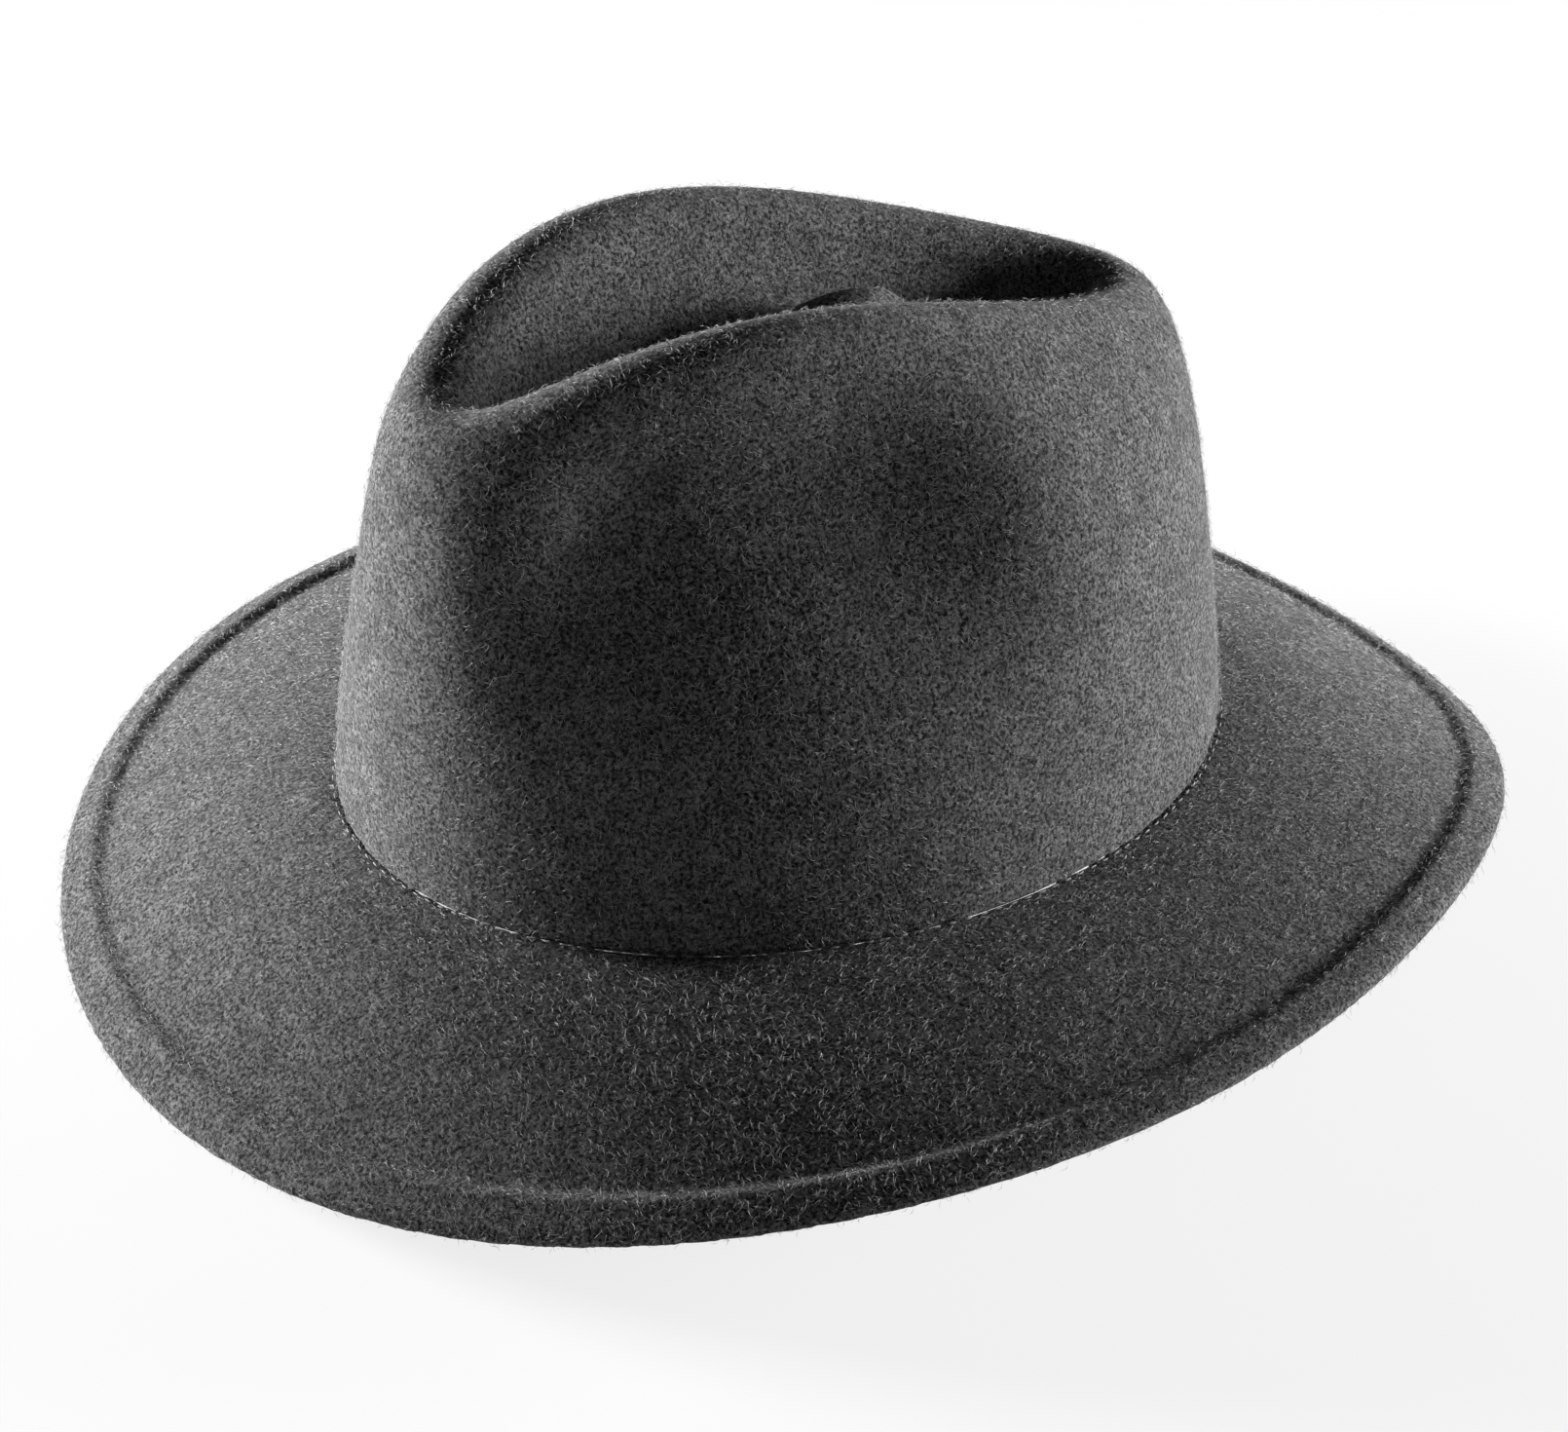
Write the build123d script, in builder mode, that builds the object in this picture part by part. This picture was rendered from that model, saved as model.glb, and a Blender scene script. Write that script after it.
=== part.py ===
"""A soft wool-felt fedora, in millimetres.

Frame: the origin is the centre of the head opening, in the plane where crown and brim meet.
+Z is up, the front of the hat faces -Y, and +X is the wearer's left.

Every round-the-head curve is a function of `turn`, an angle in degrees that is 0 at the front
centre, 90 on the wearer's left and 180 at the back.
"""

import os
from math import atan2, cos, degrees, exp, pi, radians, sin

from build123d import *

# ---- felt hood: driving sizes -------------------------------------------------------------
FELT = 2.0  # thickness of the wool felt
HALF_WIDTH = 86.4  # outside of the crown at the break, across the head
HALF_LENGTH = 103.0  # outside of the crown at the break, front to back
RIDGE_HALF_WIDTH = 35.0  # centre of the rolled ridge round the top dent
RIDGE_HALF_LENGTH = 86.0
RIDGE_TAPER = 0.03  # narrows the front of the ridge oval
RIDGE_BACK_SHIFT = 2.0
RIDGE_HEIGHTS = (108.5, 10.0, -10.0, -3.1)  # mean, then the 1st to 3rd cosine of turn
RIDGE_RADIUS = 9.0
LEAN_FRONT, LEAN_BACK = 0.32, 0.30  # share of the wall's lean that starts at the break
SHOULDER_BACK, SHOULDER_FRONT = 0.82, 0.66  # how high the wall stays upright before it turns in
SHOULDER_REACH = 4.0, 0.45  # length of the turn: a least value and a share of the wall's lean
ROLL_START = 45.0  # slope at which the shoulder runs into the ridge, from level outwards
PINCH_TURN, PINCH_SPREAD = 62.0, 28.0  # the finger hollows either side of the front
PINCH_HEIGHT, PINCH_SPAN = 0.76, 0.20  # as shares of the height of the wall
PINCH_DEPTH, PINCH_FADE = 23.0, 6  # the hollow fades out just under the ridge
VALLEY_FRONT, VALLEY_BACK = 34.0, 11.0  # depth of the top dent below its ridge
VALLEY_PLACE = 0.5  # where the valley lies between the ridge and the centre bump
BUMP_HEIGHT, BUMP_Y, BUMP_EDGE = 103.0, 20.0, 0.93  # the raised middle of the teardrop

# ---- brim ---------------------------------------------------------------------------------
BRIM_WIDTHS = (63.5, -2.0, 0.0, -3.5)  # mean, then the 1st to 3rd cosine of turn
BRIM_DROPS = (-23.0, -5.3, -10.2, 1.9, -1.9, 1.0)  # height of the edge, mean and cosines
BRIM_FLARE = 0.35  # share of the drop that starts at the break
HEM_WIDTH = 9.0  # the edge is turned up over itself by this much
HEM_HEIGHT = 2.0  # and stands this much above the brim
HEM_ROUND, HEM_CREASE = 1.0, 0.6  # rounded top of its inner edge, and the crease at its foot
WIRE_RADIUS, SLEEVE_RADIUS, TUNNEL_RADIUS = 0.6, 0.9, 1.0
SLEEVE_TURN = 3.0  # the sleeve reaches this many degrees either side of the back
PLAY = 0.1  # clearance between pieces that only lie against each other

# ---- head band ----------------------------------------------------------------------------
BAND_FOOT, BAND_TOP, BAND_THICKNESS, BAND_GAP = 1.0, 35.0, 1.0, 0.2
REED_RADIUS, REED_INSET, REED_HEIGHT, TAPE_THICKNESS = 0.8, 3.6, -0.45, 0.45
THREAD_RADIUS = 0.22

RING_POINTS = 40  # spline points in each ring round the head
TINY = 0.01  # step for slopes, in degrees or shares
ENDS_GAP = 0.2  # degrees of turn from the back to each end of a cord that goes round the head


# ---- shape of the felt --------------------------------------------------------------------
def cosines(terms, turn):
    """A height or width that varies round the head: a mean plus cosines of turn."""
    return sum(size * cos(order * radians(turn)) for order, size in enumerate(terms))


def bell(distance):
    return exp(-0.5 * distance * distance)


def trough(distance):
    """Like a bell, but with a flatter middle and steeper sides."""
    return exp(-0.5 * distance**4)


def ease(share):
    share = min(1.0, max(0.0, share))
    return share * share * (3 - 2 * share)


def break_oval(turn, inset=0.0):
    """The line where crown and brim meet, or an oval that far inside it."""
    a = radians(turn)
    return Vector((HALF_WIDTH - inset) * sin(a), -(HALF_LENGTH - inset) * cos(a), 0)


def ridge_line(turn):
    """Crest of the ridge that runs round the top dent."""
    a = radians(turn)
    x = RIDGE_HALF_WIDTH * sin(a) * (1 - RIDGE_TAPER * cos(a))
    y = RIDGE_BACK_SHIFT - RIDGE_HALF_LENGTH * cos(a)
    return Vector(x, y, cosines(RIDGE_HEIGHTS, turn))


def outward(turn):
    """Level direction from the ridge to the break oval."""
    away = break_oval(turn) - ridge_line(turn)
    return Vector(away.X, away.Y, 0).normalized()


def front_share(turn):
    return 0.5 + 0.5 * cos(radians(turn))


def roll_point(turn, angle):
    """On the ridge's round crest; 0 is level outwards, 90 straight up, 180 the dent side."""
    a = radians(angle)
    centre = ridge_line(turn) - Vector(0, 0, RIDGE_RADIUS)
    return centre + outward(turn) * RIDGE_RADIUS * cos(a) + Vector(0, 0, RIDGE_RADIUS * sin(a))


def wall(turn, climb):
    """Crown's side wall, from the break at climb 0 to where the ridge roll begins at climb 1."""
    out, up = outward(turn), Vector(0, 0, 1)
    low, foot = break_oval(turn), roll_point(turn, ROLL_START)
    level = Vector(low.X - foot.X, low.Y - foot.Y, 0).length
    start = LEAN_FRONT * front_share(turn) + LEAN_BACK * (1 - front_share(turn))
    upright = SHOULDER_BACK + (SHOULDER_FRONT - SHOULDER_BACK) * front_share(turn) ** 3
    high = (up * foot.Z - out * level * start) * upright
    a, reach = radians(ROLL_START), SHOULDER_REACH[0] + SHOULDER_REACH[1] * level
    shoulder = foot + (out * sin(a) - up * cos(a)) * reach
    t, u = climb, 1 - climb
    point = low * u**3 + (low + high) * 3 * u * u * t + shoulder * 3 * u * t * t + foot * t**3
    side, share = abs((turn + 180) % 360 - 180), point.Z / foot.Z
    pinch = trough((side - PINCH_TURN) / PINCH_SPREAD) * bell((share - PINCH_HEIGHT) / PINCH_SPAN)
    return point - out * PINCH_DEPTH * pinch * (1 - share**PINCH_FADE)


def roll(turn, share):
    """Over the ridge, from the wall side at share 0 to the dent side at share 1."""
    return roll_point(turn, ROLL_START + (180 - ROLL_START) * share)


def dent(turn, share):
    """From the ridge down into the valley and up to the bump in the middle of the crown."""
    foot = roll(turn, 1.0)
    middle = Vector(0, BUMP_Y, 0)
    level = foot * (1 - share) + middle * share
    depth = VALLEY_FRONT * front_share(turn) + VALLEY_BACK * (1 - front_share(turn))
    valley = ridge_line(turn).Z - depth
    if share < VALLEY_PLACE:
        height = foot.Z - (foot.Z - valley) * sin(0.5 * pi * share / VALLEY_PLACE)
    else:
        rise = ease((share - VALLEY_PLACE) / (BUMP_EDGE - VALLEY_PLACE))
        height = valley + (BUMP_HEIGHT - valley) * rise
    return Vector(level.X, level.Y, height)


def felt(turn, way):
    """The crown's outer face: way 0 to 1 up the wall, 1 to 2 over the ridge, 2 to 3 inwards."""
    if way <= 1:
        return wall(turn, way)
    if way <= 2:
        return roll(turn, way - 1)
    return dent(turn, way - 2)


def felt_inside(turn, way, depth):
    """A point that far under the outer face, measured square to it."""
    around = felt(turn + TINY, way) - felt(turn - TINY, way)
    along = felt(turn, min(way + TINY, 3)) - felt(turn, max(way - TINY, 0))
    square = around.cross(along).normalized()
    return felt(turn, way) - square * depth


def brim_edge(turn, inset=0.0):
    """Outer edge of the brim, or a line that far inside it, on the brim's middle surface."""
    a = radians(turn)
    across = Vector(HALF_LENGTH * sin(a), -HALF_WIDTH * cos(a), 0).normalized()
    width = cosines(BRIM_WIDTHS, turn)
    share = (width - inset) / width
    drop = cosines(BRIM_DROPS, turn) * (BRIM_FLARE * share + (1 - BRIM_FLARE) * share**2)
    point = break_oval(turn) + across * (width - inset)
    return Vector(point.X, point.Y, drop - FELT / 2)


def brim_normal(turn, inset):
    around = brim_edge(turn + TINY, inset) - brim_edge(turn - TINY, inset)
    along = brim_edge(turn, inset + TINY) - brim_edge(turn, inset - TINY)
    return along.cross(around).normalized() * -1


def closed_ring(point_at, count=RING_POINTS):
    """One smooth closed curve round the head through point_at(turn)."""
    with BuildLine() as ring:
        Spline(*[point_at(360 * i / count) for i in range(count)], periodic=True)
    return ring.wire()


def open_ring(point_at, gap=ENDS_GAP, count=RING_POINTS):
    """The same curve, but with its two ends a small gap apart at the back."""
    span = 360 - 2 * gap
    with BuildLine() as ring:
        Spline(*[point_at(180 + gap + span * i / count) for i in range(count + 1)])
    return ring.wire()


def skin(rings):
    """A solid inside a skin that runs straight from ring to ring, with a flat lid at each end."""
    return Solid.make_loft(rings, ruled=True)


def cord(path, radius):
    """A round cord along a curve."""
    with BuildPart(mode=Mode.PRIVATE) as made:
        with BuildSketch(Plane(origin=path @ 0, z_dir=path % 0)):
            Circle(radius)
        sweep(path=path)
    return made.part


def bar(start, end, radius=THREAD_RADIUS):
    """One stitch: a short straight round bar."""
    with BuildPart(mode=Mode.PRIVATE) as stitch:
        with BuildSketch(Plane(origin=start, z_dir=end - start)):
            Circle(radius)
        extrude(amount=(end - start).length)
    return stitch.part.solid()


def save(piece, name):
    piece.label = name
    export_step(piece, f"parts/{name}.step")


os.makedirs("parts", exist_ok=True)

# ---- crown --------------------------------------------------------------------------------
WALL_STEPS, ROLL_STEPS, DENT_STEPS = 10, 7, 10
WAYS = (
    [i / WALL_STEPS for i in range(WALL_STEPS)]
    + [1 + i / ROLL_STEPS for i in range(ROLL_STEPS)]
    + [2 + BUMP_EDGE * i / DENT_STEPS for i in range(DENT_STEPS)]
)


def crown_rings(depth):
    """Rings from the break up the wall, over the ridge and in to the flat of the bump."""
    rings = [closed_ring(lambda turn: break_oval(turn, depth))]
    for way in WAYS[1:]:
        rings.append(closed_ring(lambda turn: felt_inside(turn, way, depth)))
    last = 2 + BUMP_EDGE
    rings.append(closed_ring(lambda turn: felt(turn, last) - Vector(0, 0, depth)))
    return rings


with BuildPart() as crown:
    add(skin(crown_rings(0)))
    below = closed_ring(lambda turn: break_oval(turn, FELT) - Vector(0, 0, FELT))
    add(skin([below] + crown_rings(FELT)), mode=Mode.SUBTRACT)
save(crown.part, "crown")

# ---- brim with its turned-up hem ------------------------------------------------------------
WIDTH_STEPS = 7
EDGE_RADIUS = (FELT + HEM_HEIGHT) / 2
HALF_FELT = FELT / 2


def brim_point(turn, inset, rise):
    """On the brim, that far in from its edge and above its middle surface."""
    return brim_edge(turn, inset) + brim_normal(turn, inset) * rise


def brim_line(inset, rise):
    return closed_ring(lambda turn: brim_point(turn, inset, rise))


def oval_point(turn, height, inset):
    """On the break oval set in by that much, at that height."""
    return break_oval(turn, inset) + Vector(0, 0, height)


def inner_line(height, inset=FELT):
    return closed_ring(lambda turn: oval_point(turn, height, inset))


def brim_insets(nearest):
    """Insets from beside the break out to the nearest, as shares of the mean width."""
    width = BRIM_WIDTHS[0]
    return [width + (nearest - width) * i / WIDTH_STEPS for i in range(1, WIDTH_STEPS + 1)]


def wire_point(turn):
    return brim_point(turn, EDGE_RADIUS, HEM_HEIGHT / 2)


with BuildPart() as brim:
    under = [brim_line(inset, -HALF_FELT) for inset in brim_insets(EDGE_RADIUS)]
    nose = [
        brim_line(
            EDGE_RADIUS * (1 - sin(radians(a))), HEM_HEIGHT / 2 - EDGE_RADIUS * cos(radians(a))
        )
        for a in (30, 60, 90, 120, 150, 180)
    ]
    hem_top = HALF_FELT + HEM_HEIGHT
    fold = [brim_line(HEM_WIDTH - HEM_ROUND, hem_top), brim_line(HEM_WIDTH, hem_top - HEM_ROUND)]
    foot = HEM_WIDTH + HEM_CREASE
    upper = [brim_line(inset, HALF_FELT) for inset in reversed(brim_insets(foot))]

    add(skin([inner_line(-FELT)] + under + nose + fold + upper + [inner_line(0)]))
    add(skin([inner_line(-3 * FELT), inner_line(3 * FELT)]), mode=Mode.SUBTRACT)
    add(cord(closed_ring(wire_point), TUNNEL_RADIUS), mode=Mode.SUBTRACT)
save(brim.part, "brim")

# ---- wire in the hem, its ends joined by a sleeve at the back -------------------------------
save(cord(open_ring(wire_point), WIRE_RADIUS), "brim_wire")


def back_path(reach):
    """The wire's line over that many degrees either side of the back."""
    with BuildLine() as path:
        Spline(*[wire_point(180 + reach * (i / 3 - 1)) for i in range(7)])
    return path.wire()


bore = cord(back_path(2 * SLEEVE_TURN), WIRE_RADIUS + PLAY / 2)
save(cord(back_path(SLEEVE_TURN), SLEEVE_RADIUS) - bore, "wire_sleeve")

# ---- machine stitching in the crease and under the hem, as one round thread each -------------
lift = THREAD_RADIUS + PLAY
crease = open_ring(lambda turn: oval_point(turn, lift, -lift))
save(cord(crease, THREAD_RADIUS), "break_stitches")
under_hem = open_ring(lambda turn: brim_point(turn, HEM_WIDTH - 1, -HALF_FELT - lift))
save(cord(under_hem, THREAD_RADIUS), "hem_stitches")


# ---- head band inside the crown -------------------------------------------------------------
def band_point(turn, height, inset):
    """Inside the wall at that height, set in by that much from its outer face."""
    low, high = 0.0, 1.0
    for _ in range(30):
        climb = (low + high) / 2
        low, high = (climb, high) if wall(turn, climb).Z < height else (low, climb)
    around = wall(turn + TINY, climb) - wall(turn - TINY, climb)
    level = Vector(-around.Y, around.X, 0).normalized()
    point = wall(turn, climb) + level * inset
    return Vector(point.X, point.Y, height)


def band_shell(foot, top, inset, thickness):
    """A strip that follows the inside of the wall all the way round."""
    steps = 5
    heights = [foot + (top - foot) * i / steps for i in range(steps + 1)]

    def rings(depth, over):
        ends = [foot - over] + heights[1:-1] + [top + over]
        return [closed_ring(lambda turn: band_point(turn, height, depth)) for height in ends]

    return skin(rings(inset, 0)) - skin(rings(inset + thickness, 0.5))


def back_box(turn, width, foot, top):
    """A box across the wall that keeps only the part of a shell near that turn."""
    point = break_oval(turn)
    tilt = degrees(atan2(point.Y, point.X))
    with BuildPart(mode=Mode.PRIVATE) as made:
        with Locations(Location((point.X, point.Y, (foot + top) / 2), (0, 0, tilt))):
            Box(40, width, top - foot)
    return made.part


BAND_FACE = FELT + BAND_GAP + BAND_THICKNESS
BAND_SLIT = 0.6
band = band_shell(BAND_FOOT, BAND_TOP, FELT + BAND_GAP, BAND_THICKNESS)
save(band - back_box(180, BAND_SLIT, BAND_FOOT - 1, BAND_TOP + 1), "sweatband")
reed_path = open_ring(lambda turn: oval_point(turn, REED_HEIGHT, REED_INSET))
tape_radius = REED_RADIUS + PLAY + TAPE_THICKNESS
save(cord(reed_path, REED_RADIUS), "sweatband_reed")
save(cord(reed_path, tape_radius) - cord(reed_path, REED_RADIUS + PLAY), "reed_tape")

# zigzag that closes the slit at the back of the band
SEAM_STITCHES, SEAM_REACH = 12, 1.8  # reach in degrees of turn either side of the back
SEAM_MARGIN, SEAM_FILL = 3.0, 0.8  # plain ends of the band, and the share of a step that is thread
seam_step = (BAND_TOP - BAND_FOOT - 2 * SEAM_MARGIN) / SEAM_STITCHES
seam = []
for i in range(SEAM_STITCHES):
    low = BAND_FOOT + SEAM_MARGIN + i * seam_step
    side = SEAM_REACH if i % 2 else -SEAM_REACH
    start = band_point(180 - side, low, BAND_FACE + lift)
    seam.append(bar(start, band_point(180 + side, low + SEAM_FILL * seam_step, BAND_FACE + lift)))
save(Compound(children=seam), "sweatband_seam_stitches")

# flat ribbon bow over the seam
BOW_HEIGHT, BOW_REACH, LOOP_WIDTH, LOOP_HEIGHT, KNOT = 11.0, 13.0, 12.0, 9.0, 5.0
RIBBON, KNOT_THICKNESS = 1.0, 2.0
TAIL = (7, -12), (10, -9.5), (2, 0)  # corners of a tail, sideways and up from the knot
BOW_TURN = 10.0  # degrees from the back at which the band is well clear of the bow's tips
tip = band_point(180 - BOW_TURN, BOW_HEIGHT, BAND_FACE)
bow_plane = Plane(origin=(0, tip.Y - 2 * PLAY, BOW_HEIGHT), x_dir=(1, 0, 0), z_dir=(0, -1, 0))
with BuildPart() as bow:
    with BuildSketch(bow_plane):
        for side in (-1, 1):
            with Locations((side * (BOW_REACH - LOOP_WIDTH / 2), 0)):
                Ellipse(LOOP_WIDTH / 2, LOOP_HEIGHT / 2)
                Ellipse(LOOP_WIDTH / 4, LOOP_HEIGHT / 6, mode=Mode.SUBTRACT)
            with BuildLine():
                Polyline((0, 0), *[(side * x, y) for x, y in TAIL], close=True)
            make_face()
    extrude(amount=RIBBON)
    with BuildSketch(bow_plane):
        RectangleRounded(KNOT, KNOT + 1, 1)
    extrude(amount=KNOT_THICKNESS)
save(bow.part, "sweatband_bow")

# blank labels on the inside of the band
LABEL = 0.4
for name, turn, width, foot, top in (
    ("size_label", 155, 24, 12, 24),
    ("care_label", 208, 22, 6, 31),
):
    strip = band_shell(foot, top, BAND_FACE + PLAY, LABEL)
    save(strip & back_box(turn, width, foot - 1, top + 1), name)
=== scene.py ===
"""A charcoal melange wool-felt fedora on a pale floor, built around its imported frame."""

import math

import bpy
import numpy as np
from mathutils import Matrix, Vector


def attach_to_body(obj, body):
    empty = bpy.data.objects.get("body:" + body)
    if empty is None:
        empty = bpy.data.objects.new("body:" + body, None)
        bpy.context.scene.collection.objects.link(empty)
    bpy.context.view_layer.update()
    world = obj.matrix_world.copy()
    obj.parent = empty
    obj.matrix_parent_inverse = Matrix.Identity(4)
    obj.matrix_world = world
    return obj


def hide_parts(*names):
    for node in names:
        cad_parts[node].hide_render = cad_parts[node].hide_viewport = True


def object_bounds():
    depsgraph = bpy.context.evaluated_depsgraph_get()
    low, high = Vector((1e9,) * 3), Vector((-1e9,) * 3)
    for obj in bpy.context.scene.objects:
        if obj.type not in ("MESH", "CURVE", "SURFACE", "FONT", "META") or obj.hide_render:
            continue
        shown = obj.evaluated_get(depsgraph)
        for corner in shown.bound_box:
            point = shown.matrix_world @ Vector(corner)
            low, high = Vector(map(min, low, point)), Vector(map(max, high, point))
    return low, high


MM = 0.001

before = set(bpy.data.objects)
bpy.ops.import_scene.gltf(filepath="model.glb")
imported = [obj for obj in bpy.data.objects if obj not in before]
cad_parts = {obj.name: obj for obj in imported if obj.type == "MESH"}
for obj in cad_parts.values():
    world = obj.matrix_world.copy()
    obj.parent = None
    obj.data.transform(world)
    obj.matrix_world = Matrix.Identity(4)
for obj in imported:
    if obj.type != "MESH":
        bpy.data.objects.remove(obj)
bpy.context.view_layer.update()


# ---- modelling helpers ----------------------------------------------------------------------
def deselect():
    for thing in bpy.context.selected_objects:
        thing.select_set(False)


def pick(thing):
    """Selects one object alone, for an operator to act on."""
    deselect()
    thing.select_set(True)
    bpy.context.view_layer.objects.active = thing


def finish_modifier(thing, kind, **settings):
    """Adds a modifier with its settings and applies it."""
    pick(thing)
    modifier = thing.modifiers.new(kind.lower(), kind)
    for key, value in settings.items():
        setattr(modifier, key, value)
    bpy.ops.object.modifier_apply(modifier=modifier.name)


MERGE_DISTANCE = 0.005 * MM


def merged_copy(node_name, name):
    """A copy of a frame node with its loose triangles joined up."""
    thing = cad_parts[node_name].copy()
    thing.data = thing.data.copy()
    thing.name = name
    thing.data.name = name
    bpy.context.scene.collection.objects.link(thing)
    pick(thing)
    bpy.ops.object.mode_set(mode="EDIT")
    bpy.ops.mesh.select_all(action="SELECT")
    bpy.ops.mesh.remove_doubles(threshold=MERGE_DISTANCE)
    bpy.ops.mesh.normals_make_consistent(inside=False)
    bpy.ops.object.mode_set(mode="OBJECT")
    return thing


def smooth(thing, degrees):
    pick(thing)
    bpy.ops.object.shade_smooth_by_angle(angle=math.radians(degrees))


def dress(thing, material):
    thing.data.materials.clear()
    thing.data.materials.append(material)


def attach(thing, node_name, material):
    """The piece stands for that node, rides on the hat and takes the node's finish."""
    dress(thing, material)
    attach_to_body(thing, "root")
    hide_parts(node_name)


# ---- materials ------------------------------------------------------------------------------
def colour(code):
    """An sRGB hex value as linear red, green, blue, alpha."""
    parts = [int(code[i : i + 2], 16) / 255 for i in (1, 3, 5)]
    return [c / 12.92 if c <= 0.04045 else ((c + 0.055) / 1.055) ** 2.4 for c in parts] + [1.0]


def node(tree, kind, settings=None, inputs=None):
    """Adds a node with its settings and inputs; an input is a value or a (node, output) link."""
    made = tree.nodes.new(kind)
    for key, value in (settings or {}).items():
        setattr(made, key, value)
    for key, value in (inputs or {}).items():
        if isinstance(value, tuple) and isinstance(value[0], bpy.types.Node):
            tree.links.new(value[0].outputs[value[1]], made.inputs[key])
        else:
            made.inputs[key].default_value = value
    return made


def new_material(name):
    """A new material, with its node tree, its shader and the coordinates its patterns read."""
    material = bpy.data.materials.new(name)
    material.use_nodes = True
    tree = material.node_tree
    shader = tree.nodes["Principled BSDF"]
    place = node(tree, "ShaderNodeTexCoord")
    return material, tree, shader, place


def per_mm(size):
    """Pattern scale for a real feature size in millimetres."""
    return 1 / (size * MM)


# Wool fibres are about 0.02 mm thick, too fine to show, so the fleck is drawn far coarser.
CLOUD_MM, FLECK_MM = 7, 0.8


def wool_felt():
    """Wool felt, dyed dark and light fibres blended, pressed and brushed: soft grey mottling,
    fine light flecks lying every way over a near-black ground, and a dull velvety sheen."""
    material, tree, shader, place = new_material("wool_felt_charcoal_melange")
    at = (place, "Object")
    cloud = node(tree, "ShaderNodeTexNoise", None,
                 {"Vector": at, "Scale": per_mm(CLOUD_MM), "Detail": 3.0, "Roughness": 0.6})
    fleck = node(tree, "ShaderNodeTexNoise", None,
                 {"Vector": at, "Scale": per_mm(FLECK_MM), "Detail": 3.0, "Roughness": 0.6,
                  "Distortion": 0.25})
    ground = node(tree, "ShaderNodeValToRGB", None, {"Fac": (fleck, "Fac")})
    dark, light = ground.color_ramp.elements
    dark.position, dark.color = 0.38, colour("#060606")
    light.position, light.color = 0.66, colour("#686868")
    patch = node(tree, "ShaderNodeMapRange", None,
                 {"Value": (cloud, "Fac"), "From Min": 0.3, "From Max": 0.7, "To Min": 0.72,
                  "To Max": 1.28})
    mottled = node(tree, "ShaderNodeMix", {"data_type": "RGBA", "blend_type": "MULTIPLY"},
                   {"Factor": 1.0})
    tree.links.new(ground.outputs["Color"], mottled.inputs[6])
    tree.links.new(patch.outputs["Result"], mottled.inputs[7])
    tree.links.new(mottled.outputs[2], shader.inputs["Base Color"])
    relief = node(tree, "ShaderNodeBump", None,
                  {"Height": (fleck, "Fac"), "Strength": 0.4, "Distance": 0.6 * MM})
    tree.links.new(relief.outputs["Normal"], shader.inputs["Normal"])
    shader.inputs["Roughness"].default_value = 0.95
    shader.inputs["Specular IOR Level"].default_value = 0.12
    shader.inputs["Sheen Weight"].default_value = 0.12
    shader.inputs["Sheen Roughness"].default_value = 0.5
    shader.inputs["Sheen Tint"].default_value = colour("#c8c8c8")
    return material


def grained(name, code, rough, size_mm, depth_mm, metallic=0.0, streak=(1, 1, 1), vary=0.15):
    """A finish with a fine grain of a real size: colour, roughness and bump all follow it."""
    material, tree, shader, place = new_material(name)
    spread = node(tree, "ShaderNodeMapping", None, {"Vector": (place, "Object"), "Scale": streak})
    grain = node(tree, "ShaderNodeTexNoise", None,
                 {"Vector": (spread, "Vector"), "Scale": per_mm(size_mm), "Detail": 5.0})
    shade = node(tree, "ShaderNodeValToRGB", None, {"Fac": (grain, "Fac")})
    base = colour(code)
    dark, light = shade.color_ramp.elements
    dark.position, light.position = 0.3, 0.7
    dark.color = [c * (1 - vary) for c in base[:3]] + [1.0]
    light.color = [min(1.0, c * (1 + vary)) for c in base[:3]] + [1.0]
    tree.links.new(shade.outputs["Color"], shader.inputs["Base Color"])
    worn = node(tree, "ShaderNodeMapRange", None,
                {"Value": (grain, "Fac"), "To Min": rough - 0.08, "To Max": min(1.0, rough + 0.08)})
    tree.links.new(worn.outputs["Result"], shader.inputs["Roughness"])
    relief = node(tree, "ShaderNodeBump", None,
                  {"Height": (grain, "Fac"), "Strength": 0.6, "Distance": depth_mm * MM})
    tree.links.new(relief.outputs["Normal"], shader.inputs["Normal"])
    shader.inputs["Metallic"].default_value = metallic
    return material


felt = wool_felt()

# Single wool hairs standing off the felt: dull, some dark and some light.
hair = grained("loose_wool_hair", "#a2a2a2", 0.8, 2, 0.0, vary=0.6)

# Spun polyester thread: dull, with the faint ridges of its twist.
thread = grained("sewing_thread_grey", "#7c7c7c", 0.8, 0.25, 0.05)

# Grained calf leather, dyed through: a soft broken shine.
leather = grained("head_band_leather_black", "#1b1a1a", 0.45, 0.9, 0.12)

# Woven grosgrain: matt, ribbed across its length.
ribbon = grained("grosgrain_ribbon_black", "#171717", 0.75, 1.1, 0.2, streak=(1, 1, 0.15))

# Extruded polypropylene: smooth, milky, a little glossy.
reed_plastic = grained("reed_plastic_natural", "#cfccc0", 0.5, 0.6, 0.03)

# Drawn spring steel: bright, with fine draw marks.
spring_wire = grained("spring_steel_wire", "#9a9ca0", 0.35, 0.4, 0.02, metallic=1.0)

# Cut brass tube, crimped: a warm metal gone slightly dull.
brass_tube = grained("crimped_brass", "#b59a55", 0.35, 0.4, 0.02, metallic=1.0)

# Woven polyester satin: pale, with a low sheen and a fine rib.
label_satin = grained("woven_satin_label", "#d8d8d2", 0.6, 0.5, 0.05, streak=(1, 1, 4), vary=0.06)


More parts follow.
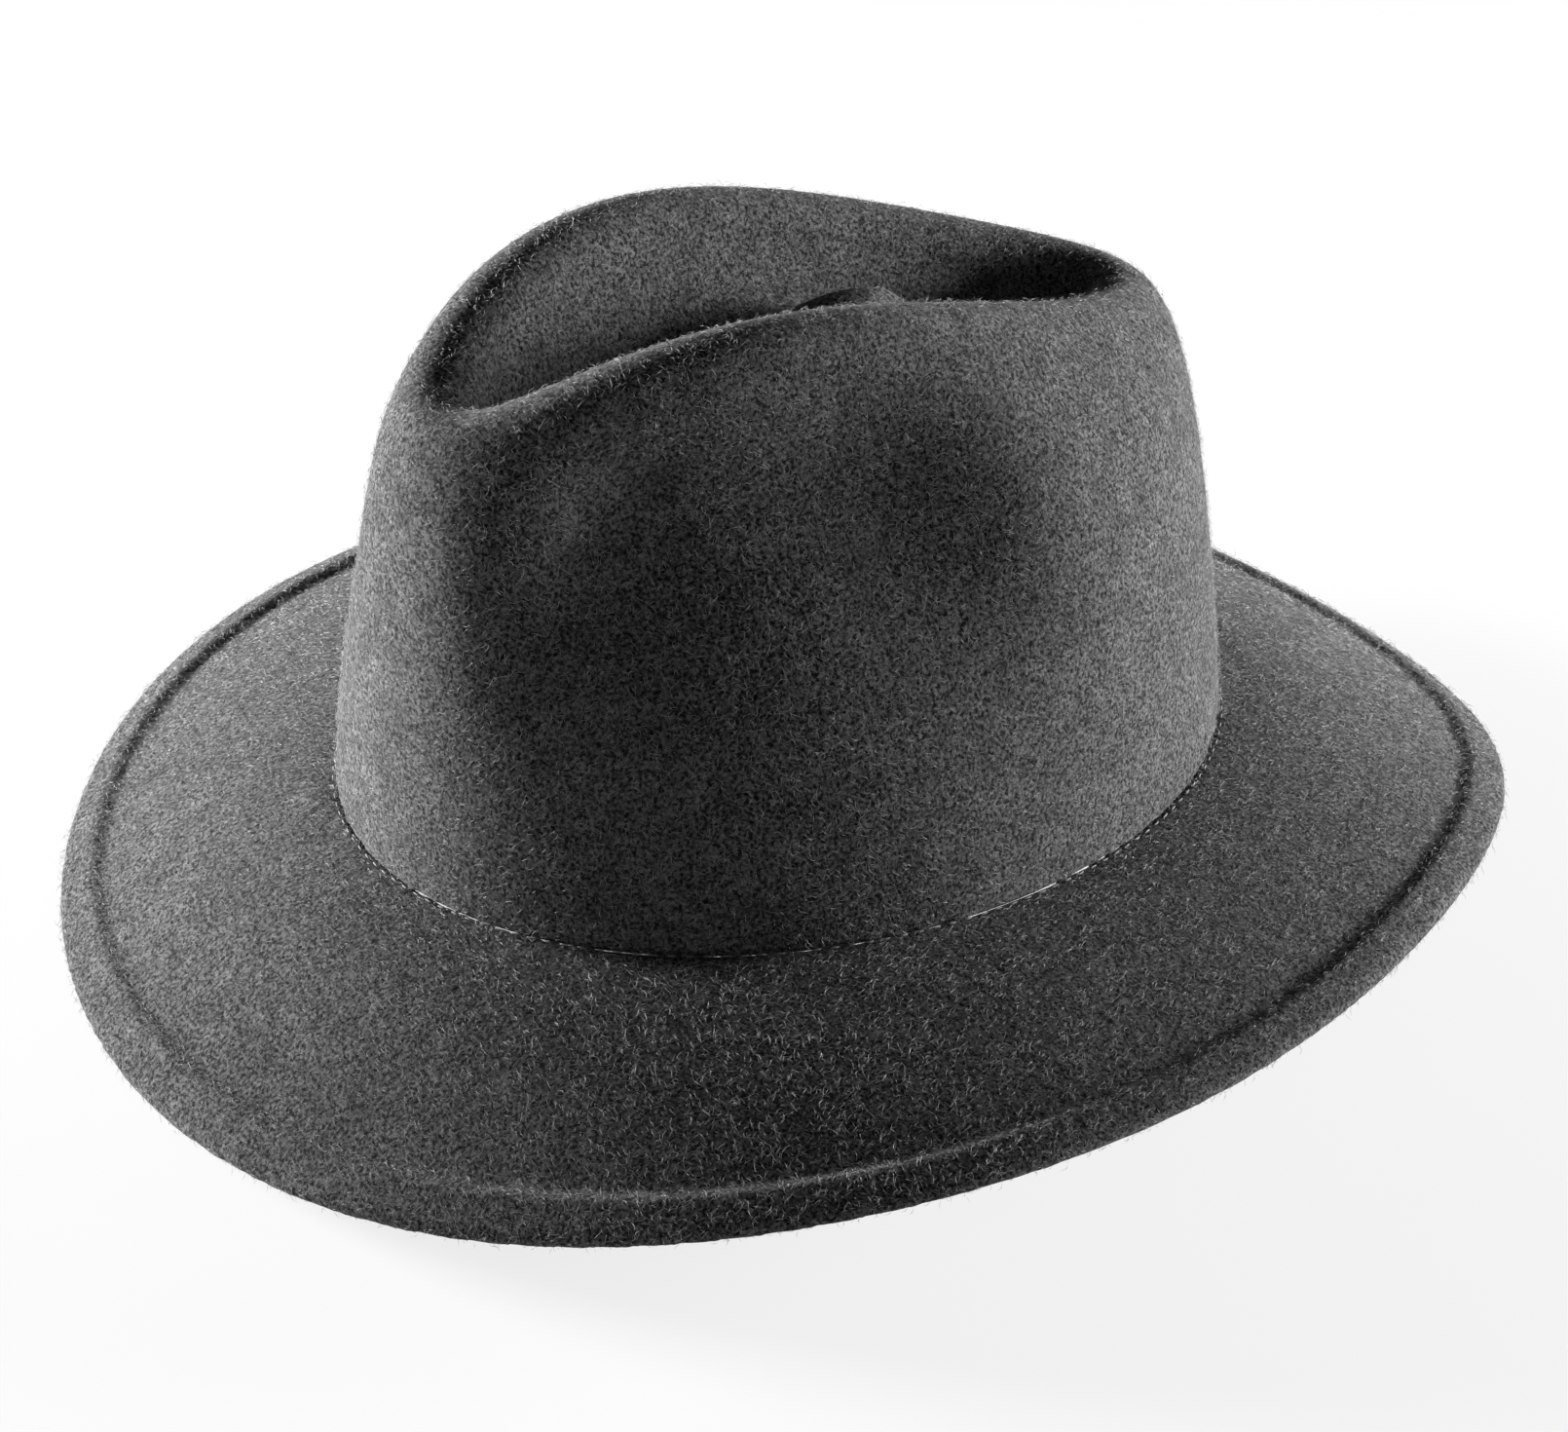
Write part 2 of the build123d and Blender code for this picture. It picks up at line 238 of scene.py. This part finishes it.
# ---- felt crown and brim --------------------------------------------------------------------
CROWN_VOXEL, BRIM_VOXEL = 1.4 * MM, 1.25 * MM  # finer than the 2 mm felt, to keep both skins whole
CROWN_PASSES, BRIM_PASSES = 8, 1
SOFT_ANGLE = 80  # degrees up to which two faces shade as one


def soft_copy(source, name, voxel, passes, material):
    """The frame's solid as an even skin with rounded edges, as soft goods have."""
    thing = merged_copy(source, name)
    finish_modifier(thing, "REMESH", mode="VOXEL", voxel_size=voxel, adaptivity=0.0)
    finish_modifier(thing, "SMOOTH", factor=0.5, iterations=passes)
    smooth(thing, SOFT_ANGLE)
    attach(thing, source, material)
    return thing


crown = soft_copy("crown", "felt_crown", CROWN_VOXEL, CROWN_PASSES, felt)
brim = soft_copy("brim", "felt_brim", BRIM_VOXEL, BRIM_PASSES, felt)

# ---- loose fibres of the nap ----------------------------------------------------------------
LONG_FIBRES, SHORT_FIBRES = (1.4 * MM, 3.2 * MM), (0.7 * MM, 1.7 * MM)
FIBRE_RADIUS = 0.045 * MM  # thicker than real wool, so that single hairs show
FIBRE_COUNT = 32000  # in each piece of nap
FIBRE_LIFT = (0.03, 0.35)  # rise per length, from lying flat to standing off
FIBRE_BEND = 0.18  # how far the middle bows aside, as a share of the length
FIBRE_ARCH = 0.4  # how far the middle rises, as a share of the tip's rise
FIBRE_SCATTER = 0.4 * MM  # typical distance of a root from its face's middle
ROOT_DEPTH = 0.05 * MM
SKY_GAP = 0.6 * MM  # where the look upwards starts, so that it clears its own face
SPOKE_ANGLES = (math.pi / 2, math.pi * 7 / 6, math.pi * 11 / 6)  # three sides of the waist


def outer_faces(thing):
    """Middle, normal and area of each face that has nothing of its own piece above it."""
    found = []
    up = Vector((0, 0, 1))
    for face in thing.data.polygons:
        start = face.center + face.normal * SKY_GAP
        if not thing.ray_cast(start, up)[0]:
            found.append((*face.center, *face.normal, face.area))
    return np.array(found)


def nap(thing, name, lengths, seed):
    """Thin closed spindles, each with a bowed middle, strewn over the felt's outside."""
    rng = np.random.default_rng(seed)
    count = FIBRE_COUNT
    faces = outer_faces(thing)
    chosen = faces[rng.choice(len(faces), count, p=faces[:, 6] / faces[:, 6].sum())]
    middle, normal = chosen[:, :3], chosen[:, 3:6]
    flat = np.cross(normal, rng.normal(size=(count, 3)))
    flat /= np.linalg.norm(flat, axis=1)[:, None]
    aside = np.cross(normal, flat)
    length = rng.uniform(*lengths, count)[:, None]
    lift = rng.uniform(*FIBRE_LIFT, count)[:, None]
    bow = rng.uniform(-FIBRE_BEND, FIBRE_BEND, count)[:, None]
    scatter = flat * rng.normal(size=(count, 1)) + aside * rng.normal(size=(count, 1))
    root = middle + scatter * FIBRE_SCATTER - normal * ROOT_DEPTH
    tip = root + (flat + normal * lift) * length
    waist = (root + tip) / 2 + (aside * bow + normal * lift * FIBRE_ARCH) * length
    spokes = [
        waist + (aside * math.cos(a) + normal * math.sin(a)) * FIBRE_RADIUS for a in SPOKE_ANGLES
    ]
    points = np.stack([root, *spokes, tip], axis=1).reshape(-1, 3)
    sides = np.array([(0, 2, 1), (0, 3, 2), (0, 1, 3), (4, 1, 2), (4, 2, 3), (4, 3, 1)])
    triangles = (sides[None] + 5 * np.arange(count)[:, None, None]).reshape(-1, 3)
    mesh = bpy.data.meshes.new(name)
    mesh.from_pydata(points.tolist(), [], triangles.tolist())
    made = bpy.data.objects.new(name, mesh)
    bpy.context.scene.collection.objects.link(made)
    dress(made, hair)
    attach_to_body(made, "root")


nap(crown, "crown_nap_long", LONG_FIBRES, 11)
nap(crown, "crown_nap_short", SHORT_FIBRES, 12)
nap(brim, "brim_nap_long", LONG_FIBRES, 13)
nap(brim, "brim_nap_short", SHORT_FIBRES, 14)

# ---- machine stitches -----------------------------------------------------------------------
STITCH_PITCH, STITCH_LENGTH, THREAD = 3.8 * MM, 2.0 * MM, 0.4 * MM
STITCH_SIDES, STITCH_RINGS, STITCH_ANGLE = 6, 5, 60
RING_STEPS = 720  # half a degree each
CREASE_OUT, CREASE_RISE = 0.25 * MM, 0.35 * MM  # the felt's corner is softer than the frame's
HEM_OUT, HEM_RISE = 0.0, 0.1 * MM


def ring_points(source):
    """Points along a frame thread that runs round the head: the middle of what each step holds."""
    bins = [[] for _ in range(RING_STEPS)]
    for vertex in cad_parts[source].data.vertices:
        turn = math.atan2(vertex.co.x, -vertex.co.y) % (2 * math.pi)
        bins[int(turn / (2 * math.pi) * RING_STEPS) % RING_STEPS].append(vertex.co)
    return [sum(found, Vector()) / len(found) for found in bins if found]


def stitch_row(source, name, outwards, rise):
    """Rounded stitches a pitch apart along the thread, moved a little to show on the soft felt."""
    points = ring_points(source)
    points.append(points[0])
    run = [0.0]
    for a, b in zip(points, points[1:]):
        run.append(run[-1] + (b - a).length)
    count = round(run[-1] / STITCH_PITCH)
    deselect()
    bpy.ops.mesh.primitive_uv_sphere_add(segments=STITCH_SIDES, ring_count=STITCH_RINGS, radius=0.5)
    pattern = bpy.context.object
    made = []
    k = 0
    for i in range(count):
        goal = run[-1] * i / count
        while run[k + 1] < goal:
            k += 1
        share = (goal - run[k]) / (run[k + 1] - run[k])
        along = (points[k + 1] - points[k]).normalized()
        stitch = pattern.copy()
        stitch.data = pattern.data.copy()
        turn = along.to_track_quat("Z", "Y").to_matrix().to_4x4()
        size = Matrix.Diagonal((THREAD, THREAD, STITCH_LENGTH, 1))
        at = points[k].lerp(points[k + 1], share)
        at += Vector((at.x, at.y, 0)).normalized() * outwards + Vector((0, 0, rise))
        stitch.data.transform(Matrix.Translation(at) @ turn @ size)
        bpy.context.scene.collection.objects.link(stitch)
        made.append(stitch)
    bpy.data.objects.remove(pattern)
    deselect()
    for stitch in made:
        stitch.select_set(True)
    bpy.context.view_layer.objects.active = made[0]
    bpy.ops.object.join()
    row = bpy.context.object
    row.name = name
    smooth(row, STITCH_ANGLE)
    attach(row, source, thread)


stitch_row("break_stitches", "crease_stitches", CREASE_OUT, CREASE_RISE)
stitch_row("hem_stitches", "hem_underside_stitches", HEM_OUT, HEM_RISE)

# ---- inside of the hat ----------------------------------------------------------------------
BAND_VOXEL, BOW_VOXEL, LABEL_VOXEL = 0.8 * MM, 0.45 * MM, 0.3 * MM
BAND_PASSES, BOW_PASSES, LABEL_PASSES = 2, 3, 1
soft_copy("sweatband", "leather_head_band", BAND_VOXEL, BAND_PASSES, leather)
soft_copy("sweatband_bow", "ribbon_bow", BOW_VOXEL, BOW_PASSES, ribbon)
for label in ("size_label", "care_label"):
    soft_copy(label, "woven_" + label, LABEL_VOXEL, LABEL_PASSES, label_satin)

# These show as the frame made them.
FRAME_FINISHES = {
    "reed_tape": ribbon,
    "sweatband_reed": reed_plastic,
    "sweatband_seam_stitches": thread,
    "brim_wire": spring_wire,
    "wire_sleeve": brass_tube,
}
for name, material in FRAME_FINISHES.items():
    dress(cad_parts[name], material)

# ---- camera ---------------------------------------------------------------------------------
AZIMUTH, ELEVATION, DISTANCE = 55.0, 30.6, 1200 * MM
SENSOR, LENS = 36.0, 124.0  # millimetres, as the camera's own settings are
SHIFT_X, SHIFT_Y = 0.0012, 0.0099  # shares of the frame's width


def add_camera():
    around, up = math.radians(AZIMUTH), math.radians(ELEVATION)
    back = Vector((math.sin(around) * math.cos(up), -math.cos(around) * math.cos(up), math.sin(up)))
    bpy.ops.object.camera_add(location=back * DISTANCE)
    made = bpy.context.object
    made.rotation_euler = back.to_track_quat("Z", "Y").to_euler()
    made.data.sensor_width = SENSOR
    made.data.lens = LENS
    made.data.shift_x = SHIFT_X
    made.data.shift_y = SHIFT_Y
    bpy.context.scene.camera = made
    return made


camera = add_camera()

# ---- floor and light ------------------------------------------------------------------------
FLOOR_RADIUS, FLOOR_SIDES, FLOOR_GAP = 6.0, 96, 0.4 * MM
FLOOR_GLOW = 0.8
WORLD_LIGHT = 0.035
LIGHT_AIM = Vector((0, 0, 50 * MM))  # the middle of the hat

# Metres to the right of the camera's line, up, and forward to the camera; width and height in
# metres; watts. The two side boxes leave a dark middle and light edges.
SOFTBOXES = {
    "left_softbox": (-1.15, 0.16, -0.45, (0.5, 0.30), 68),
    "right_softbox": (1.2, 0.12, -0.30, (0.5, 0.28), 44),
    "top_softbox": (0.3, 0.9, 0.9, (0.6, 0.6), 0.6),
}


def floor_finish():
    """Matt white board, mostly self-lit to the eye so that it stays pale to its far edge."""
    material = grained("matt_white_floor", "#f2f2f2", 0.9, 30, 0.0, vary=0.01)
    tree = material.node_tree
    glow = node(tree, "ShaderNodeEmission", None, {"Color": colour("#ffffff"), "Strength": 1.0})
    path = node(tree, "ShaderNodeLightPath")
    share = node(tree, "ShaderNodeMath", {"operation": "MULTIPLY"})
    tree.links.new(path.outputs["Is Camera Ray"], share.inputs[0])
    share.inputs[1].default_value = FLOOR_GLOW
    mix = node(tree, "ShaderNodeMixShader", None, {"Fac": (share, "Value")})
    tree.links.new(tree.nodes["Principled BSDF"].outputs[0], mix.inputs[1])
    tree.links.new(glow.outputs[0], mix.inputs[2])
    tree.links.new(mix.outputs[0], tree.nodes["Material Output"].inputs["Surface"])
    return material


def add_floor():
    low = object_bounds()[0][2]
    deselect()
    bpy.ops.mesh.primitive_circle_add(vertices=FLOOR_SIDES, radius=FLOOR_RADIUS, fill_type="NGON",
                                      location=(0, 0, low - FLOOR_GAP))
    floor = bpy.context.object
    floor.name = "floor"
    bpy.ops.object.transform_apply(location=True)
    dress(floor, floor_finish())


def add_softbox(name, side, height, forward, size, power):
    """A softbox placed beside the camera's line: side to its right, forward towards it."""
    turn = camera.rotation_euler.to_matrix()
    right = turn @ Vector((1, 0, 0))
    near = Vector((turn[0][2], turn[1][2], 0)).normalized()
    place = right * side + near * forward + Vector((0, 0, height))
    bpy.ops.object.light_add(type="AREA", location=place)
    lamp = bpy.context.object
    lamp.name = name
    lamp.data.shape = "RECTANGLE"
    lamp.data.size, lamp.data.size_y = size
    lamp.data.energy = power
    lamp.rotation_euler = (place - LIGHT_AIM).to_track_quat("Z", "Y").to_euler()


def light_room():
    """A faint even light from all round, with plain white behind the hat."""
    world = bpy.data.worlds.new("white_room")
    bpy.context.scene.world = world
    world.use_nodes = True
    tree = world.node_tree
    background = tree.nodes["Background"]
    background.inputs["Color"].default_value = colour("#ffffff")
    background.inputs["Strength"].default_value = WORLD_LIGHT
    white = node(tree, "ShaderNodeBackground", None, {"Color": colour("#ffffff"), "Strength": 1.0})
    path = node(tree, "ShaderNodeLightPath")
    mix = node(tree, "ShaderNodeMixShader", None, {"Fac": (path, "Is Camera Ray")})
    tree.links.new(background.outputs[0], mix.inputs[1])
    tree.links.new(white.outputs[0], mix.inputs[2])
    tree.links.new(mix.outputs[0], tree.nodes["World Output"].inputs["Surface"])


add_floor()
light_room()
for name, setting in SOFTBOXES.items():
    add_softbox(name, *setting)
bpy.context.scene.view_settings.view_transform = "Standard"
